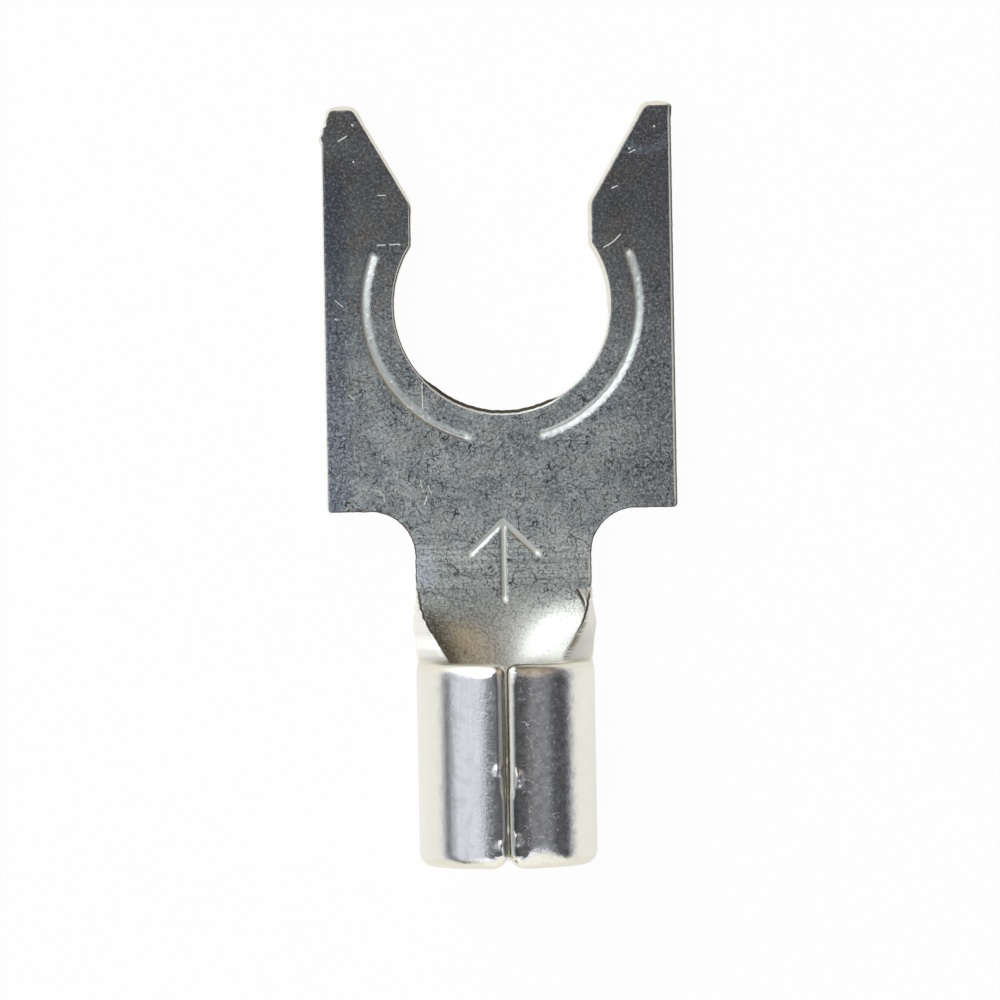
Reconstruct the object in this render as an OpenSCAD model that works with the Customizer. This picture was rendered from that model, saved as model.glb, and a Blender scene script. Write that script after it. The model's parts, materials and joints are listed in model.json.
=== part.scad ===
// Bare locking fork terminal, stamped and rolled from one strip of sheet metal.
// X runs across the fork, +Y points out past the prong tips and +Z points up, away from the surface it
// lies on. The origin is the centre of the stud seat, on the underside of the tongue.

/* [Sheet] */
// Thickness of the metal sheet
sheet_t = 0.8; // [0.6:0.05:1]

/* [Tongue] */
// Width across the two prongs
tongue_w = 8.3; // [7.8:0.1:9.2]
// Diameter of the round stud seat
stud_d = 5.2; // [4.8:0.05:5.4]
// How far the stud seat sits to the right of the strip's centre line
seat_shift = 0.07; // [0:0.01:0.15]
// Clear width of the throat between the prongs
throat_w = 4.34; // [4:0.02:4.6]
// Distance from the stud seat's centre to the start of the flared entry
throat_reach = 2.4; // [2.1:0.05:2.7]
// Slant of each side of the flared entry, in degrees
entry_angle = 30; // [24:1:32]
// Distance from the stud seat's centre to the prong tips
tip_reach = 4.8; // [4.4:0.05:5]
// Distance from the stud seat's centre to the shoulders behind it
shoulder_reach = 4.88; // [4.4:0.02:5.4]
// Rounding of the inner corners of the prong tips
tip_r = 0.2; // [0.1:0.02:0.3]
// Rounding of the corners where the entry meets the throat
throat_r = 0.4; // [0.1:0.05:0.8]
// Rounding of the tongue's outer corners
corner_r = 0.1; // [0.05:0.01:0.2]
// Width of the piece broken off the left prong's outer corner
chip_w = 0.3; // [0.1:0.02:0.36]
// Length of the piece broken off the left prong's outer corner
chip_l = 0.52; // [0.2:0.02:0.8]

/* [Neck] */
// Width of the flat neck
neck_w = 4.15; // [3.6:0.05:4.6]
// Length of the flat neck, from the shoulders to the start of the scoop
neck_len = 1.9; // [1.5:0.05:2.6]
// Fillet between the shoulders and the neck
neck_fillet_r = 1.1; // [0.6:0.05:1.4]

/* [Scoop] */
// Length over which the flat neck curls up into the barrel
scoop_len = 1.72; // [1.4:0.02:2.4]
// Fillet between the scoop's cut edge and the barrel's front edge
scoop_fillet_r = 0.7; // [0.3:0.05:0.9]

/* [Barrel] */
// Outside diameter of the wire barrel
barrel_od = 4.2; // [3.8:0.05:4.8]
// Length of the wire barrel
barrel_len = 4.78; // [4:0.02:6]
// Rounding of the barrel's outer edge at the wire mouth
mouth_r = 0.3; // [0.1:0.02:0.4]
// Rounding of the barrel's outer edge beside the scoop
front_r = 0.16; // [0.05:0.01:0.3]
// Bevel of the bore's edge at the wire mouth
mouth_bevel = 0.12; // [0.05:0.01:0.2]
// Gap left between the butted edges of the seam
seam_gap = 0.06; // [0.04:0.01:0.15]
// Width of the seam's open groove at the barrel's outside
seam_w = 0.38; // [0.2:0.02:0.5]
// Depth of the seam's open groove
seam_depth = 0.4; // [0.2:0.02:0.5]

/* [Wire grips] */
// Number of grip rings pressed into the bore
grip_count = 2; // [1:1:2]
// Distance from the wire mouth to the first grip ring
grip_start = 0.62; // [0.5:0.02:1]
// Spacing of the grip rings
grip_pitch = 1.65; // [0.8:0.05:2]
// Width of a grip ring
grip_w = 0.36; // [0.2:0.02:0.5]
// Depth of a grip ring
grip_depth = 0.09; // [0.04:0.01:0.12]

/* [Pressed marks] */
// Clear metal between the stud seat and the pressed arcs
arc_margin = 0.55; // [0.4:0.01:0.6]
// Width of the pressed arcs
arc_w = 0.26; // [0.16:0.02:0.36]
// Depth of the pressed arcs
arc_depth = 0.09; // [0.04:0.01:0.15]
// Angle that each arc reaches above the stud seat's centre
arc_above = 21; // [5:1:28]
// Angle that each arc reaches below the stud seat's centre
arc_below = 74; // [40:1:80]
// Distance from the shoulders to the arrow's point
arrow_inset = 0.28; // [0.15:0.01:0.5]
// Length of the arrow's shaft
arrow_len = 1.86; // [1.2:0.02:2.2]
// Length of the arrow's barbs
barb_len = 1.12; // [0.6:0.02:1.2]
// Spread of each barb from the shaft, in degrees
barb_angle = 45; // [25:1:60]
// Width of the arrow's strokes
stroke_w = 0.15; // [0.1:0.01:0.24]
// Depth of the arrow's strokes
stroke_depth = 0.05; // [0.03:0.01:0.1]

/* [Hidden] */
$fn = 96;

tin = [0.72, 0.72, 0.71];
stud_r = stud_d / 2;
barrel_r = barrel_od / 2;
bore_r = barrel_r - sheet_t;
mid_r = barrel_r - sheet_t / 2;
scoop_start = shoulder_reach + neck_len;
barrel_front = scoop_start + scoop_len;
barrel_rear = barrel_front + barrel_len;
tip_gap = throat_w / 2 + (tip_reach - throat_reach) * tan(entry_angle);
arc_r = stud_r + arc_margin + arc_w / 2;
arrow_tip = shoulder_reach + arrow_inset;

// Cutters run this far past the faces that they open
past = 0.5;
// The scoop's ends sink this far into the neck and the barrel wall
sink = 0.2;
// The scoop is this much inside the faces that it runs into
inlay = 0.008;
// Steps along and across the scoop
scoop_steps = 14;
scoop_spans = 28;
// How the scoop's curl grows from the flat neck to the barrel
curl_start = 2;
curl_end = 1.4;
// A curl below this, per millimetre, is drawn flat
flat_curl = 0.001;

function heading(a) = [cos(a), sin(a)];

// Radius of a round tool that leaves a groove of width w and depth d
function tool_r(w, d) = (pow(w / 2, 2) + pow(d, 2)) / (2 * d);

// What a rounding of radius r takes off a corner whose sides leave it at angles a and b
module corner_cut(a, b, r) {
    half = (b - a) / 2;
    middle = heading((a + b) / 2);
    reach = r / tan(half);
    difference() {
        polygon([-r * middle, reach * heading(a), middle * r / sin(half), reach * heading(b)]);
        translate(middle * r / sin(half)) circle(r = r);
    }
}

// Strip of sheet with its shoulders, seen from above, before the fork is cut
module strip_outline() {
    difference() {
        union() {
            translate([-tongue_w / 2, -shoulder_reach]) square([tongue_w, shoulder_reach + tip_reach]);
            translate([-neck_w / 2, -scoop_start]) square([neck_w, neck_len + sheet_t]);
            for (side = [0, 1]) mirror([side, 0]) neck_fillet();
        }
        for (side = [0, 1]) mirror([side, 0])
            translate([tongue_w / 2, -shoulder_reach]) corner_cut(90, 180, corner_r);
        translate([tongue_w / 2, tip_reach]) corner_cut(180, 270, corner_r);
        translate([-tongue_w / 2, tip_reach]) chip();
    }
}

// Broken corner of the left prong
module chip() {
    polygon([[0, -chip_l], [chip_w, 0], [chip_w, past], [-past, past], [-past, -chip_l]]);
}

// Fillet between the right shoulder and the neck
module neck_fillet() {
    translate([neck_w / 2, -shoulder_reach]) difference() {
        translate([-past, -neck_fillet_r]) square([neck_fillet_r + past, neck_fillet_r + past]);
        translate([neck_fillet_r, -neck_fillet_r]) circle(r = neck_fillet_r);
    }
}

// Opening between the prongs, about the stud seat's centre
module fork_opening() {
    circle(r = stud_r);
    translate([-throat_w / 2, 0]) square([throat_w, throat_reach + past]);
    polygon([
        [-throat_w / 2, throat_reach],
        [throat_w / 2, throat_reach],
        [tip_gap + past * tan(entry_angle), tip_reach + past],
        [-tip_gap - past * tan(entry_angle), tip_reach + past]
    ]);
    for (side = [0, 1]) mirror([side, 0]) {
        translate([throat_w / 2, throat_reach]) corner_cut(-90, 90 - entry_angle, throat_r);
        translate([tip_gap, tip_reach]) corner_cut(-90 - entry_angle, 0, tip_r);
    }
}

// Flat tongue and neck
module tongue() {
    linear_extrude(sheet_t) difference() {
        translate([-seat_shift, 0]) strip_outline();
        fork_opening();
    }
}

// Curl of the scoop at a share s of its length: 0 is flat, the barrel's own curl is 1 / mid_r
function curl(s) = (1 - pow(1 - pow(s, curl_start), curl_end)) / mid_r;

// Half the width of the scoop's sheet, which widens in a fillet just before the barrel
function scoop_half_w(s) =
    let (left = min((1 - s) * scoop_len, scoop_fillet_r))
    neck_w / 2 + scoop_fillet_r - sqrt(pow(scoop_fillet_r, 2) - pow(scoop_fillet_r - left, 2));

// Point of the rolled sheet: u across it along its middle, n above its middle, at curl k and place y
function rolled(u, n, k, y) =
    k < flat_curl
    ? [u, y, sheet_t / 2 + n]
    : let (a = u * k * 180 / PI)
      [(1 / k - n) * sin(a), y, sheet_t / 2 + 1 / k - (1 / k - n) * cos(a)];

// One closed ring of points round the scoop's section: along its top, then back along its underside
function scoop_ring(s, y) =
    let (half_w = scoop_half_w(s) - inlay, half_t = sheet_t / 2 - inlay)
    [
        for (i = [0 : scoop_spans]) rolled(half_w * (2 * i / scoop_spans - 1), half_t, curl(s), y),
        for (i = [0 : scoop_spans]) rolled(half_w * (1 - 2 * i / scoop_spans), -half_t, curl(s), y)
    ];

// Sheet that curls up from the flat neck into the barrel
module scoop() {
    rings = [
        scoop_ring(0, sink - scoop_start),
        for (i = [0 : scoop_steps]) scoop_ring(i / scoop_steps, -scoop_start - scoop_len * i / scoop_steps),
        scoop_ring(1, -barrel_front - sink)
    ];
    size = len(rings[0]);
    last = len(rings) - 1;
    sides = [
        for (r = [0 : last - 1], i = [0 : size - 1])
            let (a = r * size + i, b = r * size + (i + 1) % size)
            each [[a, b, b + size], [a, b + size, a + size]]
    ];
    ends = [
        for (i = [0 : scoop_spans - 1])
            let (a = i, b = size - 1 - i)
            each [[a, b, b - 1], [a, b - 1, a + 1]]
    ];
    far_ends = [for (f = ends) [for (i = [2, 1, 0]) f[i] + last * size]];
    polyhedron(points = [for (ring = rings) each ring], faces = concat(sides, ends, far_ends));
}

// Half section of the barrel's wall, with the wire mouth at the bottom
module barrel_section() {
    grip_r = tool_r(grip_w, grip_depth);
    difference() {
        translate([bore_r, 0]) square([sheet_t, barrel_len]);
        translate([barrel_r, 0]) corner_cut(90, 180, mouth_r);
        translate([barrel_r, barrel_len]) corner_cut(180, 270, front_r);
        translate([bore_r, 0])
            polygon([[-past, -past], [mouth_bevel + past, -past], [-past, mouth_bevel + past]]);
        for (i = [0 : grip_count - 1])
            translate([bore_r + grip_depth - grip_r, grip_start + i * grip_pitch]) circle(r = grip_r);
    }
}

// Groove and gap between the butted edges along the barrel's top
module seam() {
    slope = (seam_w - seam_gap) / 2 / seam_depth;
    top = barrel_od + past;
    translate([0, past - barrel_front, 0]) rotate([90, 0, 0]) linear_extrude(barrel_len + 2 * past) polygon([
        [-seam_gap / 2, barrel_od - sheet_t - past],
        [seam_gap / 2, barrel_od - sheet_t - past],
        [seam_gap / 2, barrel_od - seam_depth],
        [seam_w / 2 + past * slope, top],
        [-seam_w / 2 - past * slope, top],
        [-seam_gap / 2, barrel_od - seam_depth]
    ]);
}

// Rolled wire barrel with its butted seam on top
module barrel() {
    difference() {
        translate([0, -barrel_rear, barrel_r]) rotate([-90, 0, 0]) rotate_extrude() barrel_section();
        seam();
    }
}

// One pressed arc to the right of the stud seat
module arc_cutter() {
    r = tool_r(arc_w, arc_depth);
    translate([0, 0, sheet_t - arc_depth + r]) {
        rotate(-arc_below) rotate_extrude(angle = arc_below + arc_above) translate([arc_r, 0]) circle(r = r);
        for (a = [-arc_below, arc_above]) translate(arc_r * heading(a)) sphere(r = r);
    }
}

// One straight stroke of the arrow, from its point, at angle a
module stroke_cutter(a, length, r) {
    rotate([0, 90, a]) cylinder(r = r, h = length);
    translate(length * heading(a)) sphere(r = r);
}

// Direction arrow pressed into the neck
module arrow_cutter() {
    r = tool_r(stroke_w, stroke_depth);
    translate([0, -arrow_tip, sheet_t - stroke_depth + r]) {
        sphere(r = r);
        stroke_cutter(-90, arrow_len, r);
        for (side = [-1, 1]) stroke_cutter(-90 + side * barb_angle, barb_len, r);
    }
}

module fork_terminal() {
    color(tin) difference() {
        union() {
            tongue();
            translate([-seat_shift, 0, 0]) {
                scoop();
                barrel();
            }
        }
        for (side = [0, 1]) mirror([side, 0, 0]) arc_cutter();
        translate([-seat_shift, 0, 0]) arrow_cutter();
    }
}

fork_terminal();
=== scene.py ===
import json
import math
from collections import namedtuple

import bpy
import numpy as np
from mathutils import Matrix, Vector, geometry, noise


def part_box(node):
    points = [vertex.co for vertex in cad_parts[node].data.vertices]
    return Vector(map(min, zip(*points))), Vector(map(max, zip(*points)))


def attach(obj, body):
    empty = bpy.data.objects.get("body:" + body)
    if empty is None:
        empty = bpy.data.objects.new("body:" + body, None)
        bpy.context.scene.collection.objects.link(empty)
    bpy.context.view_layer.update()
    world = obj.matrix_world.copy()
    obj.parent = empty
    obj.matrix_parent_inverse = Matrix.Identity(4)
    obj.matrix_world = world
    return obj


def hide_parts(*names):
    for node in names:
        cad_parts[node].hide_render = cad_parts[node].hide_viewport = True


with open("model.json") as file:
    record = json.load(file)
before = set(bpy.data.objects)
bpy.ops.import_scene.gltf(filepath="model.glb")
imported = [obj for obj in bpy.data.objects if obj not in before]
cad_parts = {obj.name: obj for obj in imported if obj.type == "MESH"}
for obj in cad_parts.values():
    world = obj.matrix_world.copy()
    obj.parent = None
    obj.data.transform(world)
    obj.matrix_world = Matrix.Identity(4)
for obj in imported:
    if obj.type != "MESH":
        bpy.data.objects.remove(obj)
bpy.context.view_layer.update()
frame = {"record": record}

# Sizes are in millimetres, as in the drawing of the part, and become metres where a mesh is made.
MM = 0.001

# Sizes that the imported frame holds
mounts = {m["name"]: m for m in frame["record"]["mounts"]}
low, high = (np.array(corner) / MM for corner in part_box("fork_terminal"))
SHEET = mounts["stud_seat"]["dims"]["length_mm"]
SEAT_R = mounts["stud_seat"]["dims"]["r_mm"]
BORE_R = mounts["wire_barrel"]["dims"]["r_mm"]
STRIP_X = mounts["wire_barrel"]["pos_m"][0] / MM
TONGUE_W = high[0] - low[0]
MOUTH = low[1]

# Middle of the rolled sheet: its radius, and its length from the underside round to the seam
MIDDLE_R = BORE_R + SHEET / 2
HALF_ROUND = math.pi * MIDDLE_R

# Sizes of the strip that the frame doesn't hold
TIP_SLOPE = 0.12
TIP_FLARE = TIP_SLOPE + 0.04
TIP = high[1] - TIP_SLOPE
THROAT_W = 4.34
THROAT_Y = 2.4
ENTRY_ANGLE = math.radians(30)
SHOULDER_Y = -4.88
NECK_W = 4.15
SCOOP_Y = -6.78
FRONT_Y = -8.5
SEAM_GAP = 0.05

# Broken corner of the left prong: steps from its side and drops from its tip, ending in a burr
CHIP = [(0.24, 0), (0.17, 0.05), (0.10, 0.24), (0.10, 0.36), (0.03, 0.42), (0.02, 0.53), (-0.04, 0.65)]
CHIP_END = 0.76

# Powers that shape the scoop's curl at its start and its end, and the smallest curl, which stands for flat
CURL_START = 2
CURL_END = 1.4
FLAT_CURL = 1e-6

# Radii of the strip's corners
CORNER_R = 0.06
TIP_R = 0.2
THROAT_R = 0.4
NECK_FILLET_R = 1.1
SCOOP_FILLET_R = 0.7
MOUTH_CORNER_R = 0.36
LIP_CORNER_R = 0.2

# Form of each kind of cut edge. The top side becomes the bore's side and the underside the barrel's outside.
# Flare is how far the cut wall leans out towards the underside, and crease is the angle at which
# the underside's rounding starts. Ragged is the height of the waves along the cut. Rim is the painted light
# on the top's rounding, from -1 for a dark rim to 1 for a painted highlight, and the last field is 1 where
# the cut has a collar of painted shade.
Edge = namedtuple("Edge", "top_inset top_depth flare under_inset under_depth crease ragged rim tarnish")
EDGES = {
    "side": Edge(0.04, 0.03, 0.05, 0.015, 0.015, 0, 0.006, 0, 0),
    "right": Edge(0.07, 0.045, 0.02, 0.015, 0.015, 0, 0.006, 1, 1),
    "shoulder": Edge(0.03, 0.03, 0.025, 0.015, 0.015, 0, 0.014, -0.5, 1),
    "entry": Edge(0.03, 0.03, 0.075, 0.015, 0.015, 0, 0.008, 0, 0),
    "bay": Edge(0.03, 0.03, 0.03, 0.015, 0.015, 0, 0.008, 0, 0),
    "throat": Edge(0.04, 0.03, 0.015, 0.015, 0.015, 0, 0.008, 1, 1),
    "seat": Edge(0.06, 0.045, 0.07, 0.015, 0.015, 0, 0.014, 1, 1),
    "tip": Edge(0.03, 0.03, TIP_FLARE, 0.015, 0.015, 0, 0.006, 0, 0),
    "chip": Edge(0.02, 0.03, 0.08, 0.01, 0.01, 0, 0.004, 0, 0),
    "scoop": Edge(0.09, 0.06, 0.03, 0.05, 0.05, 0, 0.04, -1, 0),
    "front": Edge(0.05, 0.05, 0, 0.33, 0.2, 0, 0.006, 0, 0),
    "seam": Edge(0.03, 0.03, 0, 0.155, 0.15, 0.9, 0.003, 0, 0),
    "mouth": Edge(0.12, 0.12, 0, 0.36, 0.32, 0, 0.004, 0, 0),
}

# Kinds of edge round the seat, by the angle at which each one ends
SEAT_KINDS = (("entry", -5), ("bay", -60), ("seat", -135), ("throat", -270))

# Rings of points round the edges: the rounding's steps, the band beside it, the collar of painted shade below
# it and the pitch of the ragged waves
ROUNDING_STEPS = 7
CREASE_BAND = 0.012
COLLAR = 0.12
COLLAR_END = 1.3 * COLLAR
RAGGED_PITCH = 0.11

# Spacing of points along the cut edges, over the faces and over the beads of braze
EDGE_STEP = 0.05
FACE_STEP = 0.1
BEAD_STEP = 0.03

# Number of points to each side that the running means take in, for the edge's form and for its normals
FORM_REACH = 4
NORMAL_REACH = 2

# Pressed marks
ARC_R = 3.26
ARC_W = 0.25
ARC_DEPTH = 0.055
ARC_SKEW = 0.05
ARC_JAG = 0.02
ARC_JAG_PITCH = 0.09
ARC_ENDS = (math.radians(-74), math.radians(21))
ARROW_TIP_Y = -5.18
ARROW_LENGTH = 1.82
BARB_LENGTH = 1.08
BARB_ANGLE = math.radians(46.5)
STROKE_W = 0.18
STROKE_FLOOR = 0.5
STROKE_DEPTH = 0.05

# Lines of close points along a mark, as shares of its width
MARK_LINES = (-0.62, -0.5, -0.38, -0.19, -0.06, 0, 0.06, 0.19, 0.38, 0.5, 0.62)

# Fine scratches and small dings on the tongue, as places on the strip
SCRATCH_W = 0.045
SCRATCH_DEPTH = 0.006
SCRATCHES = [
    ((-3.78, 3.94), (-3.56, 4.07)),
    ((-2.87, 2.64), (-2.65, 2.64)),
    ((-2.90, 1.45), (-2.68, 1.46)),
    ((-2.60, 1.46), (-2.32, 1.47)),
    ((-3.92, 0.16), (-3.71, -0.02)),
    ((-3.62, -2.10), (-3.48, -2.24)),
    ((-1.88, -1.80), (-1.87, -2.52)),
    ((2.72, 2.72), (2.88, 2.78)),
    ((2.50, 1.30), (2.74, 1.44)),
    ((2.74, 1.44), (2.92, 1.62)),
    ((3.15, 3.55), (3.30, 3.63)),
    ((-3.05, -4.39), (-2.92, -4.42)),
    ((-2.92, -4.42), (-2.83, -4.53)),
    ((-2.83, -4.53), (-2.81, -4.67)),
    ((-1.95, -4.16), (-1.92, -4.36)),
    ((-1.78, -4.29), (-1.68, -4.52)),
    ((-1.87, -4.75), (-1.80, -4.53)),
]
DING_R = 0.04
DING_DEPTH = 0.008
DING_TURNS = 12
DING_RINGS = (0.4, 0.75, 1)
DINGS = [(-3.43, 4.33), (-3.42, 3.45), (3.16, 3.66), (3.76, 4.18), (-2.06, -0.55), (-3.9, -0.3), (0.1, -4.3)]

# Bent blue stain across the tip of the right prong
STAIN = [(3.17, 3.76), (3.48, 3.59), (3.84, 3.65), (4.11, 4.01)]
STAIN_W = 0.3

# Beads of braze on the lips of the seam: side, place along it, half length, distance from the gap,
# half width and height
BEADS = [
    (-1, -10.98, 0.19, 0.17, 0.11, 0.03),
    (1, -11.17, 0.30, 0.20, 0.10, 0.04),
    (1, -12.58, 0.23, 0.16, 0.08, 0.04),
    (-1, -12.72, 0.16, 0.13, 0.08, 0.03),
]
BEAD_LUMP = 0.5
BEAD_LUMP_PITCH = 0.07

# Narrowing of the seam's groove towards the wire mouth
NARROW_SEAM_Y = -11.5
NARROW_SEAM_BLEND = 0.3
NARROW_SEAM_SHARE = 0.62

# Longer rounding of the wire mouth over the right half of the barrel's crown: its growth, and its middle and
# reach as shares of the way round from the underside to the seam
CROWNED = 0.7
CROWNED_AT = 0.87
CROWNED_REACH = 0.13

# Small corner folded down at the right end of the bend between neck and scoop: the two ends of its crease
FOLD_CREASE = ((1.74, -6.83), (2.02, -7.29))
FOLD_TILT = 0.25
FOLD_W = 0.1
FOLD_DEPTH = 0.03

# Painted highlights on the pressed marks and the folded corner, and the burnish of the scratches and dings,
# where
# 1 is full, and how they lie in them
ARROW_SHINE = 0.55
STROKE_END_R = 0.7 * STROKE_W
SCRATCH_SHINE = 0.85
ARC_END_R = 0.4 * ARC_W
ARC_LINE_START = 0.85
ARC_LINE_SPAN = 0.2
FLECK_PITCH = 0.08
FLECK_START = 0.25
FLECK_GAIN = 2
FLECK_SHINE = 0.7
FOLD_SHINE = 0.8
FOLD_SHINE_SPAN = 0.05

# Growth from a pressed mark's depth to its own finish
PRESSED_GAIN = 3

# Grip rings inside the barrel, by their distance from the wire mouth
GRIPS = (0.62, 2.27)
GRIP_W = 0.36
GRIP_DEPTH = 0.09


# Outline of the flat strip

def rounded(before, corner, after, radius):
    """Points along the arc that rounds a corner, or the corner itself."""
    if radius == 0:
        return [corner]
    to_before = (before - corner) / np.linalg.norm(before - corner)
    to_after = (after - corner) / np.linalg.norm(after - corner)
    half = math.acos(np.clip(to_before @ to_after, -1, 1)) / 2
    middle = to_before + to_after
    centre = corner + middle / np.linalg.norm(middle) * radius / math.sin(half)
    first = corner + to_before * radius / math.tan(half) - centre
    start = math.atan2(first[1], first[0])
    turn = math.pi - 2 * half
    if to_before[0] * to_after[1] - to_before[1] * to_after[0] > 0:
        turn = -turn
    count = max(4, round(abs(turn) * radius / EDGE_STEP))
    angles = start + turn * np.arange(count + 1) / count
    return [centre + radius * np.array([math.cos(a), math.sin(a)]) for a in angles]


def strip_corners():
    """Corners of the strip, anticlockwise from the wire mouth's right, as (u, v, radius, next edge kind)."""
    seat = -STRIP_X
    flap = HALF_ROUND - SEAM_GAP / 2
    side = TONGUE_W / 2
    neck = NECK_W / 2
    throat = THROAT_W / 2
    tip_gap = throat + (TIP - THROAT_Y) * math.tan(ENTRY_ANGLE)
    mouth_of_seat = math.acos(throat / SEAT_R)
    turns = round(SEAT_R * (math.pi + 2 * mouth_of_seat) / EDGE_STEP)
    seat_angles = np.linspace(mouth_of_seat, -math.pi - mouth_of_seat, turns + 1)
    seat_arc = []
    for a in seat_angles:
        kind = next(kind for kind, end in SEAT_KINDS if math.degrees(a) > end)
        seat_arc.append((seat + SEAT_R * math.cos(a), SEAT_R * math.sin(a), 0, kind))
    right = [
        (flap, MOUTH, MOUTH_CORNER_R, "seam"),
        (flap, FRONT_Y, LIP_CORNER_R, "front"),
        (neck, FRONT_Y, SCOOP_FILLET_R, "scoop"),
        (neck, SCOOP_Y, 0, "right"),
        (neck, SHOULDER_Y, NECK_FILLET_R, "shoulder"),
        (side, SHOULDER_Y, CORNER_R, "right"),
        (side, TIP, CORNER_R, "tip"),
        (seat + tip_gap, TIP, TIP_R, "entry"),
        (seat + throat, THROAT_Y, THROAT_R, "entry"),
    ]
    left = [
        (seat - throat, THROAT_Y, THROAT_R, "entry"),
        (seat - tip_gap, TIP, TIP_R, "tip"),
    ] + [(step - side, TIP - drop, 0, "chip") for step, drop in CHIP] + [
        (-side, TIP - CHIP_END, CORNER_R, "side"),
        (-side, SHOULDER_Y, CORNER_R, "shoulder"),
        (-neck, SHOULDER_Y, NECK_FILLET_R, "shoulder"),
        (-neck, SCOOP_Y, 0, "scoop"),
        (-neck, FRONT_Y, SCOOP_FILLET_R, "front"),
        (-flap, FRONT_Y, LIP_CORNER_R, "seam"),
        (-flap, MOUTH, MOUTH_CORNER_R, "mouth"),
    ]
    return right + seat_arc + left


def strip_outline():
    """Closed outline of the strip as an array of points, with the edge profile at each."""
    corners = strip_corners()
    places = [np.array(c[:2]) for c in corners]
    points = []
    profiles = []
    for i, (_, _, radius, kind) in enumerate(corners):
        before = places[i - 1]
        after = places[(i + 1) % len(places)]
        arc = rounded(before, places[i], after, radius)
        points += arc
        blend = np.mean([EDGES[corners[i - 1][3]], EDGES[kind]], axis=0)
        profiles += [blend] * len(arc)
        # The straight stretch up to where the next corner's rounding begins
        following = places[(i + 2) % len(places)]
        stop = rounded(places[i], after, following, corners[(i + 1) % len(corners)][2])[0]
        gap = np.linalg.norm(stop - arc[-1])
        count = round(gap / EDGE_STEP)
        for j in range(1, count):
            points.append(arc[-1] + (stop - arc[-1]) * j / count)
            profiles.append(np.array(EDGES[kind]))
    return np.array(points), smoothed(np.array(profiles), FORM_REACH)


def smoothed(values, reach):
    """Running mean of values round a closed loop."""
    return sum(np.roll(values, shift, axis=0) for shift in range(-reach, reach + 1)) / (2 * reach + 1)


def inward(points):
    """Unit normals of an anticlockwise loop, pointing into the metal."""
    along = np.roll(points, -1, axis=0) - np.roll(points, 1, axis=0)
    along /= np.linalg.norm(along, axis=1)[:, None]
    return np.stack([-along[:, 1], along[:, 0]], axis=1)


def waves(points, pitch):
    """Smooth noise from -1 to 1 at each point."""
    return np.array([noise.noise(Vector((*p, 0)) / pitch) for p in points])


def bump(values, middle, reach):
    """Smooth rise from 0 to 1 and back, over a reach on both sides of a middle value."""
    return np.clip(1 - ((values - middle) / reach) ** 2, 0, 1) ** 2


def rise(values, middle, span):
    """Straight rise from 0 to 1 over a span of values round a middle one."""
    return np.clip((values - middle) / span + 0.5, 0, 1)


# Relief of the faces

def groove(distance, width, floor=0):
    """Share of its depth that a groove has at a distance from its middle. Floor is the share that is flat."""
    return np.clip((1 - np.abs(distance) / (width / 2)) / (1 - floor), 0, 1)


def stroke_distance(points, start, end):
    """Distance of points from a straight stroke."""
    along = end - start
    share = np.clip((points - start) @ along / (along @ along), 0, 1)
    return np.linalg.norm(points - start - share[:, None] * along, axis=1)


def arrow_strokes():
    """Start and end of each stroke of the arrow."""
    tip = np.array([0.0, ARROW_TIP_Y])
    strokes = [(0, ARROW_LENGTH), (-BARB_ANGLE, BARB_LENGTH), (BARB_ANGLE, BARB_LENGTH)]
    return [(tip, tip + length * np.array([math.sin(a), -math.cos(a)])) for a, length in strokes]


def arc_distance(points, mirrored):
    """Distance of points from the deepest line of a pressed arc, scaled to half its width at both rims.

    The deepest line lies to the left of the middle, so the left wall is steep and the right one is shallow.
    """
    to_right = -1 if mirrored else 1
    x = (points[:, 0] + STRIP_X) * to_right
    y = points[:, 1]
    angle = np.arctan2(y, x)
    past_end = ARC_R * (angle - np.clip(angle, *ARC_ENDS))
    across = (np.hypot(x, y) - ARC_R) * to_right + ARC_SKEW
    half = ARC_W / 2
    return np.hypot(half * across / (half + ARC_SKEW * np.sign(across)), past_end)


def fold_shares(points):
    """How far points lie down the folded corner, and how near its crease, from 0 to 1."""
    start, end = np.array(FOLD_CREASE)
    along = (end - start) / np.linalg.norm(end - start)
    beyond = np.clip((points - start) @ np.array([-along[1], along[0]]), 0, None)
    below = rise(-points[:, 1], -start[1], FOLD_W)
    return beyond * below, groove(stroke_distance(points, start, end), FOLD_W)


def pressed_shares(points):
    """How deep points lie in the pressed arcs and in the arrow, from 0 to 1."""
    jagged = ARC_JAG * waves(points, ARC_JAG_PITCH)
    arcs = [groove(arc_distance(points, mirrored) + jagged, ARC_W) for mirrored in (False, True)]
    arrow = [groove(stroke_distance(points, a, b), STROKE_W, STROKE_FLOOR) for a, b in arrow_strokes()]
    return np.max(arcs, axis=0), np.max(arrow, axis=0)


def spot(points, place, radius):
    """Smooth rise from 0 to 1 within a radius of one place."""
    return bump(np.linalg.norm(points - np.array(place), axis=1), 0, radius)


def top_relief(points):
    """Height of the pressed marks and grip rings on the tongue's top side, which is the bore's side."""
    arcs, arrow = pressed_shares(points)
    marks = [ARC_DEPTH * arcs, STROKE_DEPTH * arrow]
    marks += [SCRATCH_DEPTH * groove(stroke_distance(points, *np.array(s)), SCRATCH_W) for s in SCRATCHES]
    marks += [DING_DEPTH * spot(points, place, DING_R) for place in DINGS]
    marks += [GRIP_DEPTH * bump(points[:, 1], MOUTH + place, GRIP_W / 2) for place in GRIPS]
    folded, crease = fold_shares(points)
    return -np.max(marks, axis=0) - FOLD_TILT * folded - FOLD_DEPTH * crease


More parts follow.
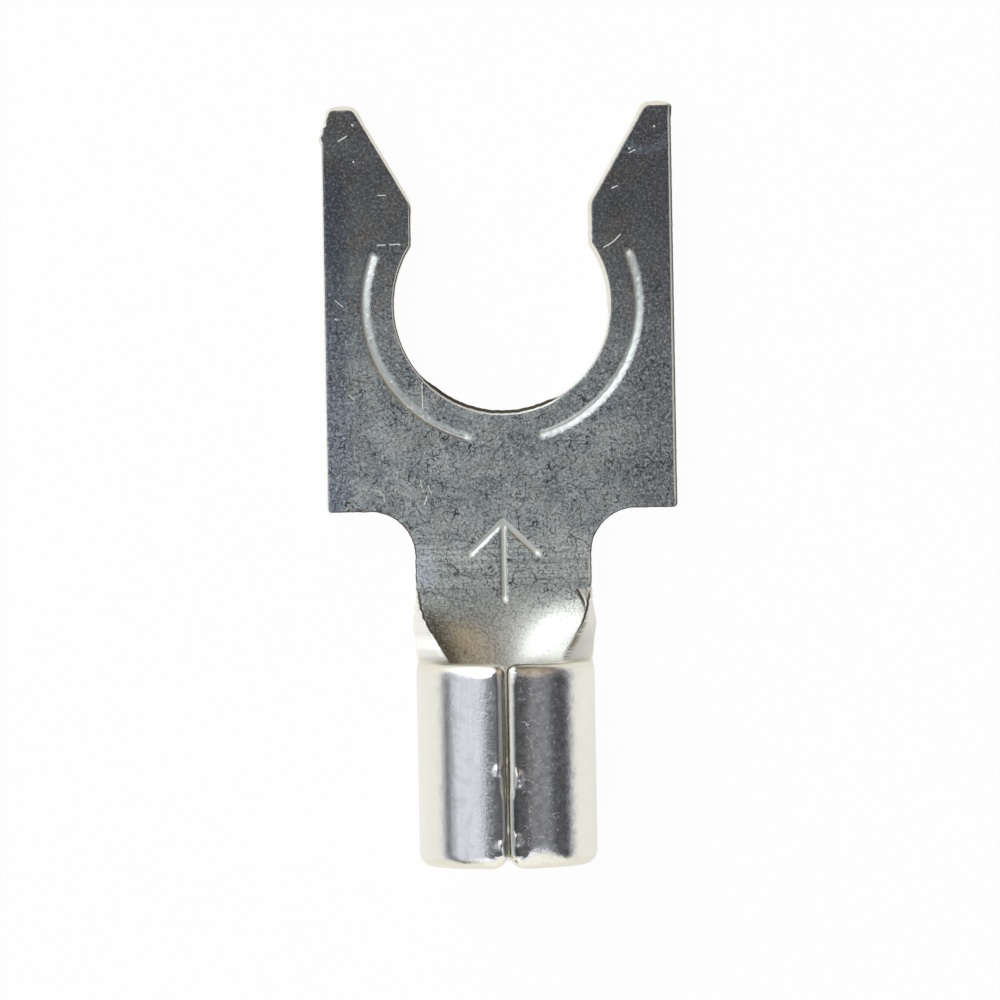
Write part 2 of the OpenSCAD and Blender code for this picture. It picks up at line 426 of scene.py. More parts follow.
def top_painted_light_and_burnish(points):
    """Painted light and burnish of the tongue's top side: up to 1 for a painted highlight on a mark or the
    fold and for burnish on a scratch or ding, down to -1 for painted shade in the fold's crease.
    """
    arcs, arrow = pressed_shares(points)
    flecks = np.clip(FLECK_GAIN * (waves(points, FLECK_PITCH) - FLECK_START), 0, FLECK_SHINE)
    bright = [ARROW_SHINE * arrow, np.where(arcs > 0, flecks, 0)]
    for mirrored in (False, True):
        depth = groove(arc_distance(points, mirrored), ARC_W)
        bright.append(np.clip(depth - ARC_LINE_START, 0, 1) / ARC_LINE_SPAN)
        to_right = -1 if mirrored else 1
        for angle in ARC_ENDS:
            end = (ARC_R * math.cos(angle) * to_right - STRIP_X, ARC_R * math.sin(angle))
            bright.append(spot(points, end, ARC_END_R))
    bright += [spot(points, end, STROKE_END_R) for _, end in arrow_strokes()]
    bright += [SCRATCH_SHINE * groove(stroke_distance(points, *np.array(s)), SCRATCH_W) for s in SCRATCHES]
    bright += [spot(points, place, DING_R) for place in DINGS]
    folded, crease = fold_shares(points)
    bright.append(np.clip(folded / FOLD_SHINE_SPAN, 0, FOLD_SHINE))
    return np.where(crease > 0, -crease, np.max(bright, axis=0))


def stain_share(points):
    """How deep points lie in the stain, from 0 at its rim to 1 on its middle line."""
    strokes = zip(np.array(STAIN[:-1]), np.array(STAIN[1:]))
    return groove(np.min([stroke_distance(points, *stroke) for stroke in strokes], axis=0), STAIN_W)


def under_relief(points):
    """Height of the beads of braze along the seam, on the barrel's outside."""
    height = np.zeros(len(points))
    for side, place, half_length, offset, half_width, top in BEADS:
        across = bump(points[:, 0] * side, HALF_ROUND - offset, half_width)
        height = np.maximum(height, top * across * bump(points[:, 1], place, half_length))
    return height * (1 + BEAD_LUMP * waves(points, BEAD_LUMP_PITCH))


def mark_points():
    """Points that follow the pressed marks closely."""
    found = []
    arc_count = round((ARC_ENDS[1] - ARC_ENDS[0]) * ARC_R / EDGE_STEP)
    for sign in (-1, 1):
        for line in MARK_LINES:
            radius = ARC_R + line * ARC_W
            for a in np.linspace(*ARC_ENDS, arc_count):
                found.append((sign * radius * math.cos(a) - STRIP_X, radius * math.sin(a)))
    strokes = [(start, end, STROKE_W) for start, end in arrow_strokes()]
    strokes += [(np.array(start), np.array(end), SCRATCH_W) for start, end in SCRATCHES]
    strokes += [(np.array(start), np.array(end), STAIN_W) for start, end in zip(STAIN[:-1], STAIN[1:])]
    strokes.append((*np.array(FOLD_CREASE), FOLD_W))
    for start, end, width in strokes:
        length = np.linalg.norm(end - start)
        along = (end - start) / length
        across = np.array([-along[1], along[0]])
        count = math.ceil(length / EDGE_STEP) + 2
        for line in MARK_LINES:
            for reach in np.linspace(-width / 2, length + width / 2, count):
                found.append(start + along * reach + across * (line * width))
    for place in DINGS:
        found.append(place)
        for a in np.arange(DING_TURNS) * math.tau / DING_TURNS:
            turn = np.array([math.cos(a), math.sin(a)])
            found += [place + turn * DING_R * share for share in DING_RINGS]
    return np.array(found)


def bead_points():
    """Close points over the beads of braze."""
    found = []
    for side, place, half_length, offset, half_width, _ in BEADS:
        for u in np.arange(-half_width, half_width, BEAD_STEP):
            for v in np.arange(-half_length, half_length, BEAD_STEP):
                found.append((side * (HALF_ROUND - offset + u), place + v))
    return np.array(found)


# Rolling the strip

def rolled(flat):
    """Places of the strip's points (u, v, height above its middle) once it is rolled."""
    u, v, n = flat.T
    share = np.clip((SCOOP_Y - v) / (SCOOP_Y - FRONT_Y), 0, 1)
    curl = np.maximum(1 - (1 - share ** CURL_START) ** CURL_END, FLAT_CURL) / MIDDLE_R
    angle = u * curl
    x = (1 / curl - n) * np.sin(angle)
    z = SHEET / 2 + n + (1 / curl - n) * (1 - np.cos(angle))
    return np.stack([x + STRIP_X, v, z], axis=1)


# Building the mesh

def inside(points, loop):
    """Which points lie inside a closed loop."""
    x, y = points[:, 0], points[:, 1]
    found = np.zeros(len(points), bool)
    for (ax, ay), (bx, by) in zip(loop, np.roll(loop, -1, axis=0)):
        crosses = (ay > y) != (by > y)
        if crosses.any():
            at = ax + (y - ay) / (by - ay + 1e-12) * (bx - ax)
            found ^= crosses & (x < at)
    return found


def far_from(points, others, gap):
    """Which points lie at least a gap away from all the others."""
    batch = 500
    keep = np.ones(len(points), bool)
    for start in range(0, len(points), batch):
        part = points[start:start + batch]
        apart = np.linalg.norm(part[:, None] - others[None], axis=2)
        keep[start:start + batch] = apart.min(axis=1) >= gap
    return keep


def face_points(loop, marks):
    """Points that fill a face, with extra ones along its marks."""
    (u0, v0), (u1, v1) = loop.min(axis=0), loop.max(axis=0)
    columns = np.arange(u0, u1, FACE_STEP)
    rows = np.arange(v0, v1, FACE_STEP)
    grid = np.stack(np.meshgrid(columns, rows), axis=-1).reshape(-1, 2)
    marks = marks[inside(marks, loop)]
    marks = marks[far_from(marks, loop, BEAD_STEP / 2)]
    grid = grid[far_from(grid, marks, FACE_STEP / 2)]
    grid = grid[inside(grid, loop)]
    grid = grid[far_from(grid, loop, FACE_STEP / 2)]
    return np.concatenate([grid, marks])


def fill(loop, points):
    """Triangles of a face, with the loop's points first in their numbering."""
    every = [Vector(p) for p in np.concatenate([loop, points])]
    keep_inside = 1
    nearest = 1e-6
    made = geometry.delaunay_2d_cdt(every, [], [list(range(len(loop)))], keep_inside, nearest)
    triangles, origin = made[2], made[3]
    return [[origin[i][0] for i in face] for face in triangles]


def worn_outline():
    """Outline of the strip with its ragged cuts, and with the seam's lips narrowed towards the wire mouth."""
    outline, profile = strip_outline()
    edge = Edge(*profile.T)
    outline = outline - inward(outline) * (edge.ragged * waves(outline, RAGGED_PITCH))[:, None]
    at_seam = np.abs(np.abs(outline[:, 0]) - HALF_ROUND) < SEAM_GAP
    below = rise(-outline[:, 1], -NARROW_SEAM_Y, NARROW_SEAM_BLEND) * at_seam
    narrow = 1 - (1 - NARROW_SEAM_SHARE) * below
    at_mouth = outline[:, 1] < MOUTH + SEAM_GAP
    crowned = CROWNED * bump(outline[:, 0] / HALF_ROUND, CROWNED_AT, CROWNED_REACH) * at_mouth
    under_inset = edge.under_inset * narrow * (1 + crowned)
    return outline, edge._replace(under_inset=under_inset, under_depth=edge.under_depth * narrow)


def edge_rings():
    """Rings of points (u, v, height, painted light) round the strip, from its top's rim to its underside's.
    """
    outline, edge = worn_outline()
    normal = inward(smoothed(outline, NORMAL_REACH))
    steps = np.linspace(0, 1, ROUNDING_STEPS)

    def ring(inset, height, painted_light_and_burnish):
        return np.column_stack([outline + normal * inset[:, None], height, painted_light_and_burnish])

    level = np.full(len(outline), SHEET / 2)
    top = [ring(edge.top_inset + CREASE_BAND, level, level * 0)]
    for phase in steps * math.pi / 2:
        inset = edge.top_inset * (1 - math.sin(phase))
        drop = edge.top_depth * (1 - math.cos(phase))
        # The rim's painted highlight is full a third of the way round, and the painted shade at the wall
        turn = math.sin(3 * phase)
        top.append(ring(inset, level - drop, edge.rim * max(turn, 0) + edge.tarnish * min(turn, 0)))
    # A cut with a collar of painted shade leans out only along that collar, and is straight and pale below
    # that
    wall = SHEET - edge.top_depth - edge.under_depth
    for reach, painted_light_and_burnish in ((COLLAR, -edge.tarnish), (COLLAR_END, level * 0)):
        lean = edge.flare * (edge.tarnish + (1 - edge.tarnish) * reach / wall)
        top.append(ring(-lean, level - edge.top_depth - reach, painted_light_and_burnish))
    under = [ring(edge.under_inset + CREASE_BAND - edge.flare, -level, level * 0)]
    for step in steps:
        phase = edge.crease + (math.pi / 2 - edge.crease) * step
        share = (1 - np.sin(phase)) / (1 - np.sin(edge.crease))
        rise = (np.cos(edge.crease) - np.cos(phase)) / np.cos(edge.crease)
        under.append(ring(edge.under_inset * share - edge.flare, edge.under_depth * rise - level, level * 0))
    for points in top:
        points[:, 2] += top_relief(points[:, :2])
    for points in under:
        points[:, 2] -= under_relief(points[:, :2])
    return top + under[::-1]


def strip_faces(rings, top, under):
    """Faces that join the rings, and that fill the top and the underside with their own points."""
    size = len(rings[0])
    faces = []
    for r in range(len(rings) - 1):
        for i in range(size):
            j = (i + 1) % size
            faces.append((r * size + i, (r + 1) * size + i, (r + 1) * size + j, r * size + j))
    first_top = len(rings) * size
    first_under = first_top + len(top)
    last_ring = first_top - size
    for face in fill(rings[0][:, :2], top):
        faces.append([i if i < size else i - size + first_top for i in face])
    for face in fill(rings[-1][:, :2], under):
        faces.append([i + last_ring if i < size else i - size + first_under for i in reversed(face)])
    return faces


def keep_values(mesh, name, values):
    """Keep a value at each point of a mesh, for its material."""
    mesh.attributes.new(name, "FLOAT", "POINT").data.foreach_set("value", values)


def terminal_mesh():
    """Rolled strip as one closed mesh that keeps each point's marks and its place on the plain flat strip."""
    rings = edge_rings()
    top = face_points(rings[0][:, :2], mark_points())
    under = face_points(rings[-1][:, :2], bead_points())
    flat_top = np.column_stack([top, SHEET / 2 + top_relief(top), top_painted_light_and_burnish(top)])
    flat_under = np.column_stack([under, -SHEET / 2 - under_relief(under), np.zeros(len(under))])
    flat = np.concatenate(rings + [flat_top, flat_under])
    mesh = bpy.data.meshes.new("terminal")
    mesh.from_pydata((rolled(flat[:, :3]) * MM).tolist(), [], strip_faces(rings, top, under))
    mesh.polygons.foreach_set("use_smooth", [True] * len(mesh.polygons))
    first_top = len(rings) * len(rings[0])
    on_top = slice(first_top, first_top + len(top))
    pressed = np.zeros(len(flat))
    pressed[on_top] = np.clip(PRESSED_GAIN * np.max(pressed_shares(top), axis=0), 0, 1)
    stain = np.zeros(len(flat))
    stain[on_top] = stain_share(top)
    keep_values(mesh, "painted_light_and_burnish", flat[:, 3])
    keep_values(mesh, "pressed", pressed)
    keep_values(mesh, "stain", stain)
    flat[on_top, 2] = SHEET / 2
    strip = mesh.attributes.new("strip", "FLOAT_VECTOR", "POINT")
    strip.data.foreach_set("vector", flat[:, :3].ravel())
    mesh.update()
    return mesh


# Looks of the metal

# Noise over the flat strip, with its scale in features for each millimetre. Shift sets one apart from the
# others, and stretch packs it closer along an axis.
Noise = namedtuple("Noise", "scale detail roughness shift stretch", defaults=((0, 0, 0), (1, 1, 1)))
NOISES = {
    "clouds": Noise(1.1, 5.0, 0.65),
    "patches": Noise(1.6, 3.0, 0.5, (8, 6, 1)),
    "grain": Noise(15.0, 3.0, 0.8, (3, 1, 7)),
    "clusters": Noise(1.3, 4.0, 0.6, (2, 9, 5)),
    "spots": Noise(20.0, 3.0, 0.6, (6, 2, 3)),
    "streaks": Noise(1.0, 2.0, 0.5, stretch=(0.4, 14, 1)),
    "mottle": Noise(6.0, 5.0, 0.7),
    "drawn": Noise(1.0, 3.0, 0.6, stretch=(9, 0.5, 1)),
    "blotches": Noise(3.5, 5.0, 0.65, (5, 5, 2)),
    "crumbs": Noise(13.0, 4.0, 0.7, (1, 4, 8)),
}

# Fine hairlines: a shift that sets each kind apart, and its layers of hairs
Hair = namedtuple("Hair", "scale half_width cover")
HAIRS = {
    "dark_hairs": ((0, 0, 0), [
        Hair(1.6, 0.021, 0.47), Hair(3.2, 0.019, 0.49), Hair(6.0, 0.015, 0.48), Hair(11.0, 0.012, 0.42)]),
    "light_hairs": ((7, 3, 0), [Hair(2.6, 0.016, 0.40), Hair(5.0, 0.014, 0.42)]),
    "speck_hairs": ((4, 9, 0), [Hair(3.0, 0.013, 0.41), Hair(6.0, 0.011, 0.42)]),
}

# How hairs bend, how much of their width is full, and how they break up
HAIR_BEND = 0.45
HAIR_BEND_SCALE = 2.2
HAIR_BEND_DETAIL = 3.0
HAIR_CORE = 0.2
HAIR_GAP_SCALE = 1.6
HAIR_GAP_DETAIL = 2.0
HAIR_GAP_ROUGHNESS = 0.5
HAIR_GAP_SHIFT = (4, 1)
HAIR_GAP_START = 0.96
HAIR_GAP_END = 1.06

# Where each finish lies. A ramp runs smoothly from low to high while its field goes from start to end, and a
# region is the product of its ramps. On the flat strip the field u runs across, v along and n up from the
# sheet's middle. Side and depth are the sizes of u and n. A region is a field for the ones after it.
Ramp = namedtuple("Ramp", "field start end low high", defaults=(0, 1))
REGIONS = {
    "outside": [Ramp("n", 0.1, -0.1), Ramp("v", SCOOP_Y + 0.2, SCOOP_Y - 0.3)],
    "wall": [Ramp("depth", SHEET / 2 - 0.015, SHEET / 2 - 0.05)],
    "pale": [Ramp("clouds", 0.35, 0.65)],
    "brown": [Ramp("patches", 0.52, 0.66)],
    "brown_dull": [Ramp("patches", 0.45, 0.62)],
    "prong": [Ramp("v", -3.6, 2.8)],
    "left_band": [Ramp("u", -3.45, -3.8), Ramp("v", 3.6, 3.2)],
    "right_band": [Ramp("u", 2.4, 3.8)],
    "blue_stain": [Ramp("stain", 0, 0.7)],
    "neck": [Ramp("v", -4.6, -6.2)],
    "brushed": [Ramp("v", -5.1, -5.9), Ramp("v", -7.2, -6.4), Ramp("streaks", 0.35, 0.65)],
    "scoop": [Ramp("v", -6.4, -7.7)],
    "scoop_left": [Ramp("u", 0.3, -1.3)],
    "scoop_end": [Ramp("v", -7.3, -8.1)],
    "blue_corner": [Ramp("u", -1.55, -1.75), Ramp("v", -5.7, -6.1), Ramp("v", -6.76, -6.7)],
    "shade": [Ramp("u", -1.3, -1.95), Ramp("v", -6.9, -7.7)],
    # Painted gold glints on the left of the scoop
    "painted_glints": [Ramp("v", -7.2, -7.8), Ramp("u", -0.5, -1.1), Ramp("grain", 0.5, 0.7)],
    # The scoop's grain and hairs fade out, most where its highlight falls: partly a cleaner scoop, partly
    # painted highlight
    "clean_and_painted_highlight": [Ramp("v", -6.7, -7.9), Ramp("u", -0.4, 1.2, 0.5, 0.95)],
    "crackle_share": [Ramp("prong", 0, 1, 1, 0.45)],
    "grain_low": [Ramp("grain", 0.5, 0.26)],
    "grain_high": [Ramp("grain", 0.5, 0.76)],
    "crowded": [Ramp("clusters", 0.36, 0.6, 0.5, 0.95)],
    "light_share": [Ramp("prong", 0, 1, 0.7, 0.1)],
    "dark_spots": [Ramp("spots", 0.61, 0.70), Ramp("v", -4.0, -7.0, 0.2, 0.6)],
    "crest": [Ramp("side", HALF_ROUND * 0.70, HALF_ROUND * 0.78)],
    "crown": [
        Ramp("side", HALF_ROUND * 0.78, HALF_ROUND * 0.84),
        Ramp("side", HALF_ROUND * 0.97, HALF_ROUND * 0.93),
    ],
    "speck_share": [Ramp("u", -1, 1, 0.35, 1)],
    "facet": [Ramp("u", 0, 1), Ramp("side", HALF_ROUND - 0.22, HALF_ROUND - 0.14)],
    "mottled": [Ramp("u", 0, 1), Ramp("mottle", 0.6, 0.35)],
    "drawn_lines": [Ramp("drawn", 0.4, 0.7)],
    "blotched": [Ramp("blotches", 0.46, 0.66)],
    "lip": [Ramp("side", HALF_ROUND - 0.1, HALF_ROUND - 0.02)],
    "near_neck": [Ramp("side", NECK_W / 2 + 0.6, NECK_W / 2 + 0.3)],
    "crumbly": [Ramp("u", 0, 1), Ramp("n", 0.1, 0.36), Ramp("v", -7.3, -7.7), Ramp("crumbs", 0.40, 0.54)],
    # Painted highlight with the burnish of scratches and dings, and painted shade, from the value kept at
    # each point
    "painted_highlight_and_burnish": [Ramp("painted_light_and_burnish", 0.1, 0.9)],
    "painted_shade": [Ramp("painted_light_and_burnish", -0.1, -0.9)],
}

# Products of fields that are used more than once or on their own
PRODUCTS = {
    "dark": "dark_hairs crowded",
    "light": "light_hairs light_share",
    "specks": "speck_hairs crowded crown speck_share",
    "flank": "wall scoop near_neck",
}

# Coats of colour from the bottom up. Where names the fields whose product lays the coat on, and share is its
# most. A blend runs from its first colour to its second by a field.
Blend = namedtuple("Blend", "field first second")
Coat = namedtuple("Coat", "where share colour")
# Left side of the scoop: painted shade in grey up the scoop and painted brown reflection towards the barrel
SCOOP_PAINTED_SHADE = Blend("scoop_end", (0.38, 0.39, 0.36), (0.85, 0.77, 0.61))
TONGUE = Blend("pale", (0.34, 0.385, 0.41), (0.56, 0.59, 0.585))
TONGUE_COATS = [
    Coat("brown", 0.4, (0.39, 0.36, 0.34)),
    # The prongs' darker tin is partly a duller finish and partly painted shade
    Coat("prong", 0.8, Blend("brown_dull", (0.135, 0.135, 0.147), (0.15, 0.13, 0.12))),
    Coat("left_band", 0.6, Blend("prong", (0.20, 0.245, 0.34), (0.085, 0.10, 0.14))),
    Coat("right_band", 0.6, (0.19, 0.185, 0.21)),
    Coat("blue_stain", 0.8, (0.29, 0.34, 0.39)),
    # The neck's lighter tin is partly its own tone and partly painted light
    Coat("neck", 0.35, (0.66, 0.70, 0.68)),
    Coat("brushed", 0.85, (0.82, 0.86, 0.84)),
    # The scoop is pale on the right, with painted shade and a painted brown reflection on the left
    Coat("scoop", 1, Blend("scoop_left", (0.90, 0.90, 0.86), SCOOP_PAINTED_SHADE)),
    Coat("blue_corner", 0.85, (0.80, 0.88, 0.94)),
    Coat("shade", 0.85, (0.20, 0.19, 0.15)),
    # Painted gold glints on the left of the scoop
    Coat("painted_glints", 0.5, (1.0, 0.86, 0.62)),
    Coat("grain_low fading", 0.85, (0.08, 0.09, 0.10)),
    Coat("grain_high fading", 0.85, (0.80, 0.83, 0.84)),
    Coat("light", 1, (0.85, 0.88, 0.90)),
    Coat("dark fading", 1, (0.055, 0.06, 0.06)),
    Coat("dark_spots", 1, (0.10, 0.11, 0.10)),
    # Lighter tin in the pressed marks: partly their own tone, partly painted highlight
    Coat("pressed", 0.85, (0.58, 0.62, 0.60)),
]
BARREL = Blend("crest", (0.90, 0.885, 0.80), (0.82, 0.82, 0.86))
BARREL_COATS = [
    Coat("outside facet", 1, (0.40, 0.42, 0.40)),
    Coat("crest mottled", 0.7, (0.45, 0.44, 0.48)),
    Coat("crest drawn_lines", 0.3, (0.58, 0.58, 0.61)),
    Coat("crest blotched", 0.24, (0.45, 0.47, 0.44)),
]
EDGE_COATS = [
    Coat("wall", 1, (0.87, 0.84, 0.72)),
    # Near-white flanks beside the scoop: painted light that lifts them out of their shade
    Coat("flank", 1, (0.98, 0.97, 0.92)),
    Coat("flank crumbly", 0.75, (0.24, 0.22, 0.14)),
    Coat("outside lip", 0.7, (0.46, 0.45, 0.36)),
    # Painted highlight on the marks, the fold and the cut rims, with burnish on the scratches and dings
    Coat("painted_highlight_and_burnish", 1, (0.95, 0.94, 0.90)),
    # Painted shade in the cut edges' dark collars and rims and in the fold's crease
    Coat("painted_shade", 1, (0.09, 0.078, 0.06)),
]

# Roughness of the crackled and of the bare metal, as ramps that add up, and of the marks on them
CRACKLED_ROUGH = [Ramp("v", 4.5, -4.5, 0.36, 0.50), Ramp("grain", 0.3, 0.7, -0.05, 0.05)]
BARE_ROUGH = [Ramp("outside", 0, 1, 0.34, 0.19), Ramp("v", FRONT_Y - 0.45, FRONT_Y - 0.1, 0, 0.1)]
SPECK_ROUGH = 0.6
BLOTCH_ROUGH = 0.07
PRESSED_ROUGH = 0.38
DUSTY_ROUGH = 0.6

# Fine unevenness of the surface
BUMP_STRENGTH = 0.3
BUMP_DEPTH = 0.004
SPECK_BUMP = 0.3
BARREL_BUMP = 2.5


class Nodes:
    """Nodes of a material or world, and short ways to add them. Inputs are values or nodes' outputs."""

    def __init__(self, tree):
        self.tree = tree

    def add(self, kind, inputs, **settings):
        """New node with its settings and inputs."""
        made = self.tree.nodes.new(kind)
        for name, value in settings.items():
            setattr(made, name, value)
        for name, value in inputs.items():
            if isinstance(value, bpy.types.NodeSocket):
                self.tree.links.new(value, made.inputs[name])
            else:
                made.inputs[name].default_value = value
        return made

    def maths(self, operation, first, *others):
        """Values joined by an operation, one after the other."""
        for other in others:
            first = self.add("ShaderNodeMath", {0: first, 1: other}, operation=operation).outputs[0]
        return first

    def size(self, value):
        """Value without its sign."""
        return self.add("ShaderNodeMath", {0: value}, operation="ABSOLUTE").outputs[0]

    def rest(self, share):
        """What a share leaves of 1."""
        return self.maths("SUBTRACT", 1.0, share)

    def vector(self, operation, first, second):
        """Two vectors joined by an operation."""
        return self.add("ShaderNodeVectorMath", {0: first, 1: second}, operation=operation).outputs[0]

    def attribute(self, name, output):
        """Value that the mesh keeps at each point."""
        return self.add("ShaderNodeAttribute", {}, attribute_name=name).outputs[output]

    def spread(self, value, start, end, low_end=0, high_end=1):
        """Value brought smoothly from one range to another and held at its ends."""
        inputs = {"Value": value, "From Min": start, "From Max": end, "To Min": low_end, "To Max": high_end}
        return self.add("ShaderNodeMapRange", inputs, interpolation_type="SMOOTHSTEP").outputs[0]

    def mix(self, share, first, second):
        """Number between two others."""
        return self.add("ShaderNodeMix", {0: share, 2: first, 3: second}).outputs[0]

    def tint(self, share, first, second):
        """Colour between two others."""
        return self.add("ShaderNodeMix", {0: share, 6: first, 7: second}, data_type="RGBA").outputs[2]

    def noise(self, place, look):
        """Noise over the strip."""
        moved = self.vector("ADD", self.vector("MULTIPLY", place, look.stretch), look.shift)
        inputs = {"Vector": moved, "Scale": look.scale, "Detail": look.detail, "Roughness": look.roughness}
        return self.add("ShaderNodeTexNoise", inputs, noise_dimensions="2D").outputs["Fac"]

    def hairs(self, place, shift, layers):
        """Fine broken hairlines along the edges of bent cells."""
        moved = self.vector("ADD", place, shift)
        inputs = {"Vector": moved, "Scale": HAIR_BEND_SCALE, "Detail": HAIR_BEND_DETAIL}
        wander = self.add("ShaderNodeTexNoise", inputs, noise_dimensions="2D").outputs["Color"]
        bent = self.vector("ADD", self.vector("MULTIPLY", wander, (HAIR_BEND, HAIR_BEND, 0)), moved)
        lines = []
        for hair in layers:
            cells = self.add("ShaderNodeTexVoronoi", {"Vector": bent, "Scale": hair.scale},
                             feature="DISTANCE_TO_EDGE", voronoi_dimensions="2D").outputs["Distance"]
            half_width = hair.half_width * hair.scale
            thin = self.spread(cells, half_width, HAIR_CORE * half_width)
            gap_shift = (hair.scale, *HAIR_GAP_SHIFT)
            gap_look = Noise(hair.scale * HAIR_GAP_SCALE, HAIR_GAP_DETAIL, HAIR_GAP_ROUGHNESS, gap_shift)
            gaps = self.noise(moved, gap_look)
            shown = self.spread(gaps, HAIR_GAP_START - hair.cover, HAIR_GAP_END - hair.cover)
            lines.append(self.maths("MULTIPLY", thin, shown))
        return self.maths("MAXIMUM", *lines)


class Finish(Nodes):
    """Nodes of the metal, with the fields over the strip that its looks follow."""

    def __init__(self, tree):
        super().__init__(tree)
        place = self.attribute("strip", "Vector")
        u, v, n = self.add("ShaderNodeSeparateXYZ", {0: place}).outputs
        self.fields = {"u": u, "v": v, "n": n, "side": self.size(u), "depth": self.size(n)}
        for name in ("painted_light_and_burnish", "pressed", "stain"):
            self.fields[name] = self.attribute(name, "Fac")
        for name, look in NOISES.items():
            self.fields[name] = self.noise(place, look)
        for name, (shift, layers) in HAIRS.items():
            self.fields[name] = self.hairs(place, shift, layers)
        for name, ramps in REGIONS.items():
            self.fields[name] = self.maths("MULTIPLY", *map(self.follow, ramps))
        for name, parts in PRODUCTS.items():
            self.fields[name] = self.product(parts)
        # Grain and hairs fade on the prongs, and in the scoop partly as painted highlight
        fading = self.maths("MULTIPLY", self.fields["crackle_share"], self.rest(self.fields["clean_and_painted_highlight"]))
        self.fields["fading"] = fading
        bare = self.maths("MAXIMUM", self.fields["outside"], self.fields["wall"])
        self.fields["crackled"] = self.rest(bare)

    def follow(self, ramp):
        """Value of a ramp over the strip."""
        return self.spread(self.fields[ramp.field], *ramp[1:])

    def product(self, names, *shares):
        """Product of named fields and shares."""
        return self.maths("MULTIPLY", *(self.fields[name] for name in names.split()), *shares)

    def colour(self, wanted):
        """Plain colour, or one that runs from one to another by a field."""
        if isinstance(wanted, Blend):
            return self.tint(self.fields[wanted.field], self.colour(wanted.first), self.colour(wanted.second))
        return (*wanted, 1)

    def coated(self, below, coats):
        """Colour with coats laid over it."""
        for coat in coats:
            below = self.tint(self.product(coat.where, coat.share), below, self.colour(coat.colour))
        return below

    def roughness(self):
        """Roughness over the strip."""
        crackled = self.maths("ADD", *map(self.follow, CRACKLED_ROUGH))
        marks = [self.product("specks", SPECK_ROUGH), self.product("blotched", BLOTCH_ROUGH)]
        bare = self.maths("ADD", *map(self.follow, BARE_ROUGH), *marks)
        rough = self.mix(self.fields["crackled"], bare, crackled)
        rough = self.mix(self.fields["pressed"], rough, PRESSED_ROUGH)
        dusty = self.maths("MAXIMUM", self.fields["painted_highlight_and_burnish"], self.fields["flank"])
        return self.mix(dusty, rough, DUSTY_ROUGH)

    def unevenness(self):
        """Normals that follow the grain, the hairs and the specks."""
        relief = self.maths("SUBTRACT", self.fields["grain"], self.fields["dark"])
        relief = self.maths("MULTIPLY", relief, self.product("crackled fading"))
        height = self.maths("ADD", relief, self.product("specks", SPECK_BUMP),
                            self.product("grain outside", BARREL_BUMP))
        inputs = {"Strength": BUMP_STRENGTH, "Distance": BUMP_DEPTH * MM, "Height": height}
        return self.add("ShaderNodeBump", inputs).outputs[0]


def new_material(name):
    """Material with its node tree and its shader."""
    material = bpy.data.materials.new(name)
    material.use_nodes = True
    return material, material.node_tree, material.node_tree.nodes["Principled BSDF"]


def tin_material():
    """Tin plate: grained and crackled on the flat faces, clean and glossy on the barrel and at the cuts."""
    material, tree, shader = new_material("tin_plate")
    finish = Finish(tree)
    tongue = finish.coated(finish.colour(TONGUE), TONGUE_COATS)
    barrel = finish.coated(finish.colour(BARREL), BARREL_COATS)
    colour = finish.coated(finish.tint(finish.fields["outside"], tongue, barrel), EDGE_COATS)
    tree.links.new(colour, shader.inputs["Base Color"])
    tree.links.new(finish.roughness(), shader.inputs["Roughness"])
    # Where shade is painted, the metal gives way to a dark dull coat
    tree.links.new(finish.rest(finish.fields["painted_shade"]), shader.inputs["Metallic"])
    tree.links.new(finish.unevenness(), shader.inputs["Normal"])
    shader.inputs["Specular IOR Level"].default_value = 0
    return material


# Stage

# Share of plain white that the floor and the room show to the camera and in reflections
FLOOR_SEEN = 0.96
FLOOR_MIRRORED = 0.7
ROOM_SEEN = 1
ROOM_MIRRORED = 0.04
WHITE = (1, 1, 1, 1)
FLOOR_COLOUR = (0.95, 0.94, 0.90, 1)
FLOOR_ROUGHNESS = 0.9
ROOM_COLOUR = (0.055, 0.057, 0.060, 1)

# Floor, in metres
FLOOR_REACH = 0.6
FLOOR_LEVEL = -0.02 * MM

# Area lamps that face the part. Azimuth is in degrees anticlockwise from +X, lean is in degrees from straight
# up, and sizes are in metres.
Softbox = namedtuple("Softbox", "azimuth lean width height radiance colour")
COOL = (0.96, 0.985, 1.0)
WARM = (1.0, 0.75, 0.45)
LAMP_DISTANCE = 0.2
SOFTBOXES = {
    "left_box": Softbox(187, 53.3, 0.34, 0.168, 0.74, COOL),
    "right_box": Softbox(0, 44, 0.25, 0.11, 0.2, COOL),
    "back_left_box": Softbox(130, 54, 0.17, 0.28, 2.2, COOL),
    "front_box": Softbox(-80, 60, 0.36, 0.23, 0.95, COOL),
    "warm_box": Softbox(40, 48, 0.14, 0.16, 0.42, WARM),
}

# The photograph's scale, frame and slight turn, the stud seat's place in it, and the camera's distance
MM_PER_PIXEL = 0.0239
FRAME_PIXELS = 1000
SEAT_PIXEL = (502.0, 304.5)
CAMERA_TURN = math.radians(1.0)
CAMERA_DISTANCE = 143.0
CLIP_START = 0.001


def white_share(nodes, seen, mirrored):
    """Share of plain white that rays from the camera, and mirrored or transmitted ones, meet."""
    path = nodes.add("ShaderNodeLightPath", {}).outputs
    bounced = nodes.maths("MAXIMUM", path["Is Glossy Ray"], path["Is Transmission Ray"])
    to_camera = nodes.maths("MULTIPLY", path["Is Camera Ray"], seen)
    return nodes.maths("MAXIMUM", to_camera, nodes.maths("MULTIPLY", bounced, mirrored))


